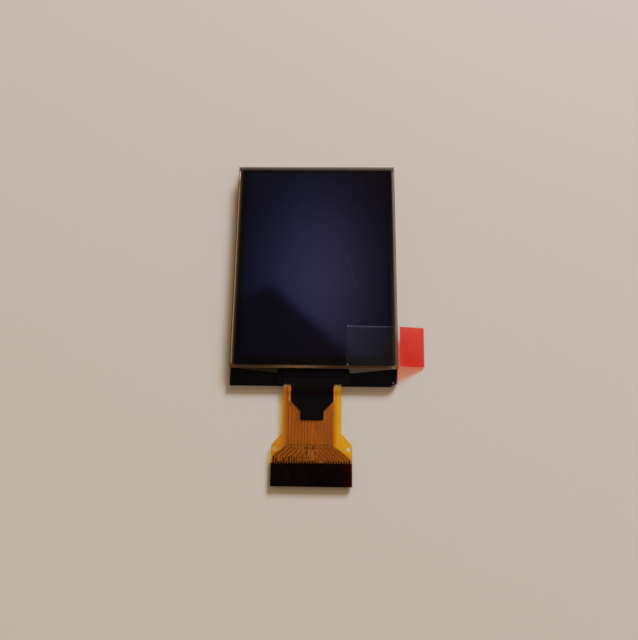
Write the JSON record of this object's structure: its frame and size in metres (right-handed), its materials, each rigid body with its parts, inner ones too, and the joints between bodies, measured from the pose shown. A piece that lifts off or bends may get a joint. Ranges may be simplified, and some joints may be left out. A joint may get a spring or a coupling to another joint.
{
  "type": "oled display panel",
  "caption": "Bare small portrait OLED panel: two-glass cell with driver ledge, polariser, film with red pull tab and an amber flex tail.",
  "frame": {"origin": "centre of the panel's rear face, where its black film lies on a surface", "axes": "+Z out of the screen, +Y along the panel away from the flex tail, +X to the right seen from the front"},
  "size_m": [0.0387, 0.0655, 0.0014],
  "materials": {
    "black_film": "matte black light-blocking film",
    "cell_glass": "polished thin glass",
    "cell_layers": "dark thin-film stack",
    "row_drivers": "dark thin-film circuit",
    "glass_frit": "fused glass powder, golden brown",
    "polarising_film": "dark neutral film with a satin coat",
    "clear_film": "clear glossy film",
    "clear_tape": "clear adhesive tape",
    "red_film": "translucent red film",
    "silicon": "polished silicon",
    "bond_film": "cured conductive adhesive film",
    "thin_metal": "thin-film metal on glass",
    "black_tape": "black insulating tape",
    "clear_sealant": "cured clear sealant",
    "amber_film": "amber polyimide film",
    "copper": "rolled copper under film",
    "contact_plating": "plated contacts, dark mirror",
    "stiffener_film": "dark stiffening film",
    "black_ink": "black ink"
  },
  "bodies": {
    "root": {"rear_film": "black_film", "tft_glass": "cell_glass", "front_glass": "cell_glass", "pixel_array": "cell_layers", "border_circuit": "row_drivers", "frit_seal": "glass_frit", "polariser": "polarising_film", "protective_film": "clear_film", "pull_tab_tape": "clear_tape", "pull_tab_grip": "red_film", "driver_chip": "silicon", "chip_bond_film": "bond_film", "flex_bond_film": "bond_film", "fanout_traces": "thin_metal", "bond_pads": "thin_metal", "alignment_marks": "thin_metal", "shield_tape": "black_tape", "edge_sealant": "clear_sealant", "flex_base": "amber_film", "flex_cover_film": "amber_film", "flex_rear_cover_film": "amber_film", "flex_traces": "copper", "flex_rear_traces": "copper", "vias": "copper", "contact_fingers": "contact_plating", "tail_stiffener": "stiffener_film", "pin_one_mark": "black_ink"}
  },
  "joints": []
}
